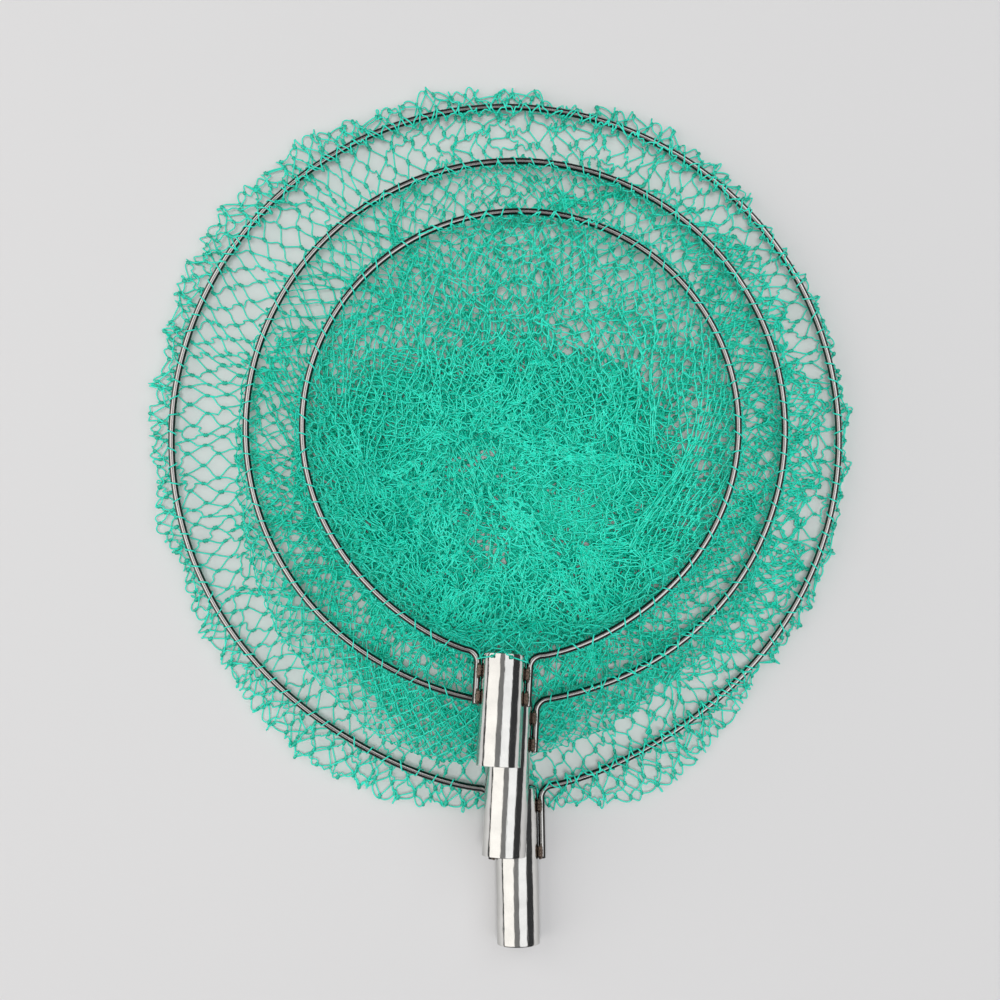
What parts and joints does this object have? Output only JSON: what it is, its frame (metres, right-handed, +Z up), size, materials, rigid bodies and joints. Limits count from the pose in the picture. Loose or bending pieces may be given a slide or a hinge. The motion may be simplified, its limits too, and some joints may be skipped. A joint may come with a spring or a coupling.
{
  "type": "landing net head set",
  "caption": "Nested set of round landing-net heads: wire hoops welded to tubular handle sockets, each with a collapsed knotted netting bag.",
  "frame": {"origin": "on the table, straight under the centre of the large hoop", "axes": "+Z up from the table, the handle sockets point towards -Y, +X to the right when the sockets point at the viewer and the hoops are seen from above"},
  "size_m": [0.4191, 0.5068, 0.0767],
  "materials": {
    "polished_steel": "mirror-polished stainless steel, drawn wire and tube",
    "weld_steel": "bright weld metal, slightly rippled and straw-tinted",
    "green_netting": "sea-green twisted polyethylene twine, knotted in diamond meshes"
  },
  "bodies": {
    "large_head": {"large_hoop": "polished_steel", "large_socket": "polished_steel", "large_weld_right_top": "weld_steel", "large_weld_right_end": "weld_steel", "large_weld_left_top": "weld_steel", "large_weld_left_end": "weld_steel", "large_bag": "green_netting"},
    "medium_head": {"medium_hoop": "polished_steel", "medium_socket": "polished_steel", "medium_weld_right_top": "weld_steel", "medium_weld_right_end": "weld_steel", "medium_weld_left_top": "weld_steel", "medium_weld_left_end": "weld_steel", "medium_bag": "green_netting"},
    "small_head": {"small_hoop": "polished_steel", "small_socket": "polished_steel", "small_weld_right_top": "weld_steel", "small_weld_right_end": "weld_steel", "small_weld_left_top": "weld_steel", "small_weld_left_end": "weld_steel", "small_bag": "green_netting"}
  },
  "joints": [
    {"name": "medium_lift", "type": "slide", "parent": "large_head", "child": "medium_head", "axis": [0, 0, 1], "range_m": [0, 0.1]},
    {"name": "small_lift", "type": "slide", "parent": "medium_head", "child": "small_head", "axis": [0, 0, 1], "range_m": [0, 0.1]}
  ]
}
